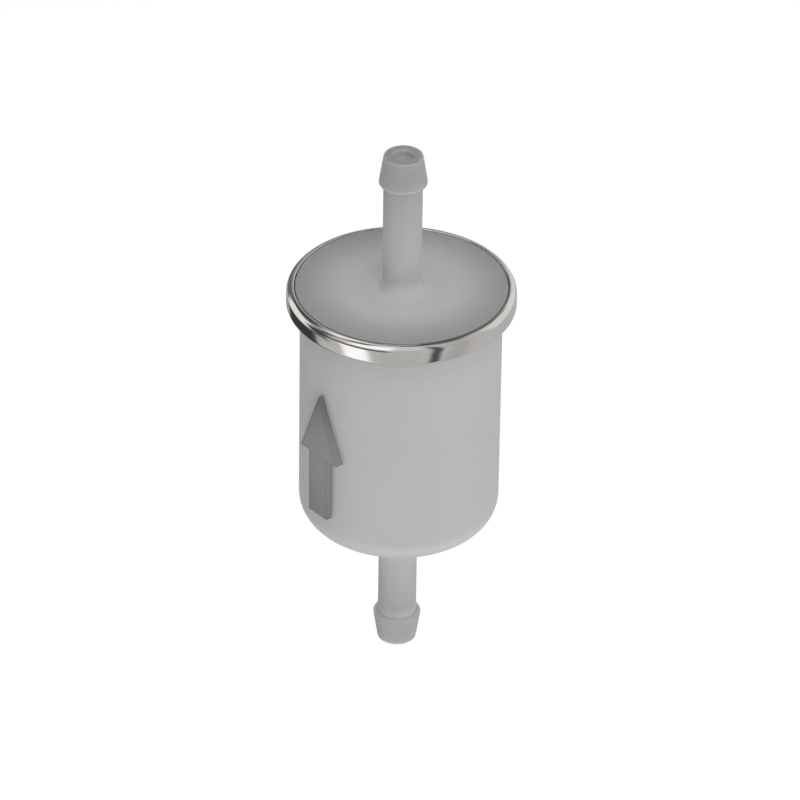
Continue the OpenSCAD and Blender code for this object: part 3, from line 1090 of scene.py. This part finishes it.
# %% Studio
EVEN_LIGHT = 0.3
ROOM_GREY = 0.47
CEILING_GREY = 0.62
OVERHEAD = 0.94
CARD_EDGE = 5.0
NARROWEST = 0.5
CARDS = {
    # azimuth, half width, lowest, highest, brightness
    "front_screen": (0, 18, -60, 25, 0.44),
    "front_ceiling_screen": (5, 25, 30, 75, 0.58),
    "far_right_screen": (130, 35, -8, 45, 0.68),
    "back_screen": (-172, 16, -60, 42, 0.30),
    "left_softbox": (-32, 22, 22, 70, 1.05),
    "left_floor_softbox": (-46, 13, -60, -8, 1.05),
    "far_left_softbox": (-118, 20, -20, 28, 0.80),
    "far_left_flag": (-150, 14, -12, 30, 0.13),
    "far_left_floor_flag": (-122, 28, -60, -25, 0.04),
    "left_tall_flag": (-84, 9, -30, 46, 0.10),
    "left_long_flag": (-55, 43, -5, 9, 0.02),
    "far_left_long_flag": (-138, 24, 30, 53, 0.05),
    "left_narrow_flag": (-112, 10, 28, 44, 0.15),
    "left_ceiling_flag": (-72, 26, 56, 78, 0.07),
    "back_ceiling_flag": (169, 15, 38, 78, 0.04),
    "far_right_ceiling_flag": (130, 36, 60, 80, 0.15),
    "far_left_ceiling_softbox": (-128, 32, 57, 70, 1.0),
    "right_narrow_flag": (35, 2.5, -60, 62, 0.06),
    "right_screen": (58, 9, -60, 50, 0.40),
}
print("the room has", len(CARDS), "cards")

# %% [markdown]
# The world shader starts with a plain grey room that is lighter overhead. Then each card is laid over it
# where the ray's azimuth and elevation fall inside the card, with soft edges, so that no patch on the
# band ends in a hard line.

# %% World
world = bpy.data.worlds.new("studio")
bpy.context.scene.world = world
world.use_nodes = True
world.cycles.sampling_method = "NONE"
sky = Board(world.node_tree)
ray = sky.node("ShaderNodeTexCoord", out="Generated")
ray_x, ray_y, ray_z = [sky.node("ShaderNodeSeparateXYZ", {}, {0: ray}, out=axis) for axis in "XYZ"]
sideways = (1.0 - ray_z * ray_z) ** 0.5
print("made the", world.name, "world")


# %% Hanging a card
def smooth_window(value, low, high, edge):
    """1 between low and high and 0 outside, with soft edges."""
    return sky.step(value, low - edge, low + edge) * sky.step(value, high - edge, high + edge, 1.0, 0.0)


def hang_card(behind, azimuth, half_width, lowest, highest, brightness):
    """The brightness of what is behind, with one more card in front."""
    heading = towards(CAMERA_AZIMUTH + math.radians(azimuth), 0)
    facing = (ray_x * heading.x + ray_y * heading.y).maths("DIVIDE", sideways)
    inside = math.cos(math.radians(max(half_width - CARD_EDGE, NARROWEST)))
    outside = math.cos(math.radians(half_width + CARD_EDGE))
    wide = sky.step(facing, outside, inside)
    edge = math.radians(CARD_EDGE) / 2
    tall = smooth_window(ray_z, math.sin(math.radians(lowest)), math.sin(math.radians(highest)), edge)
    return behind + wide * tall * (brightness - behind)


print("a card's edge fades over", 2 * CARD_EDGE, "degrees")

# %% [markdown]
# With all the cards hung, reflections see the room, the camera sees plain white, and every other ray sees
# an even, dim grey.

# %% What each ray sees
room = sky.step(ray_z, OVERHEAD, 1.0, ROOM_GREY, CEILING_GREY)
for card in CARDS.values():
    room = hang_card(room, *card)
from_camera = sky.node("ShaderNodeLightPath", out="Is Camera Ray")
from_mirror = sky.node("ShaderNodeLightPath", out="Is Glossy Ray")
seen = EVEN_LIGHT + from_mirror * (room - EVEN_LIGHT)
seen = seen + from_camera * (1.0 - seen)
backdrop = world.node_tree.nodes["Background"]
backdrop.inputs["Color"].default_value = (1, 1, 1, 1)
world.node_tree.links.new(seen.socket, backdrop.inputs["Strength"])
bpy.context.scene.view_settings.view_transform = "Standard"
print("the world shader has", len(world.node_tree.nodes), "nodes")

# %% [markdown]
# ## Soft lights
# Two large square lamps model the forms: a key from the front and right, which leaves the arrow's side of
# the cup a little darker, and a top light for the plate. The room of cards already gives the reflections,
# so the lamps are hidden from mirrors.

# %% Soft lights
LAMP_DISTANCE = 1.2
LAMPS = {"key_light": (22, 20, 3.8, 0.6), "top_light": (0, 89, 3.4, 0.5)}


def hang_lamp(name, azimuth, elevation, power, size):
    """A square soft lamp that faces the filter, at an azimuth from the camera and an elevation."""
    lamp = bpy.data.lights.new(name, "AREA")
    lamp.energy = power
    lamp.size = size
    holder = bpy.data.objects.new(name, lamp)
    bpy.context.scene.collection.objects.link(holder)
    outward = towards(CAMERA_AZIMUTH + math.radians(azimuth), math.radians(elevation))
    holder.location = filter_centre + outward * LAMP_DISTANCE
    holder.rotation_euler = outward.to_track_quat("Z", "Y").to_euler()
    holder.visible_glossy = False
    holder.visible_camera = False


for name, place in LAMPS.items():
    hang_lamp(name, *place)
print("hung", ", ".join(LAMPS))

# %% [markdown]
# The finished pieces have to stay inside the CAD model's box.
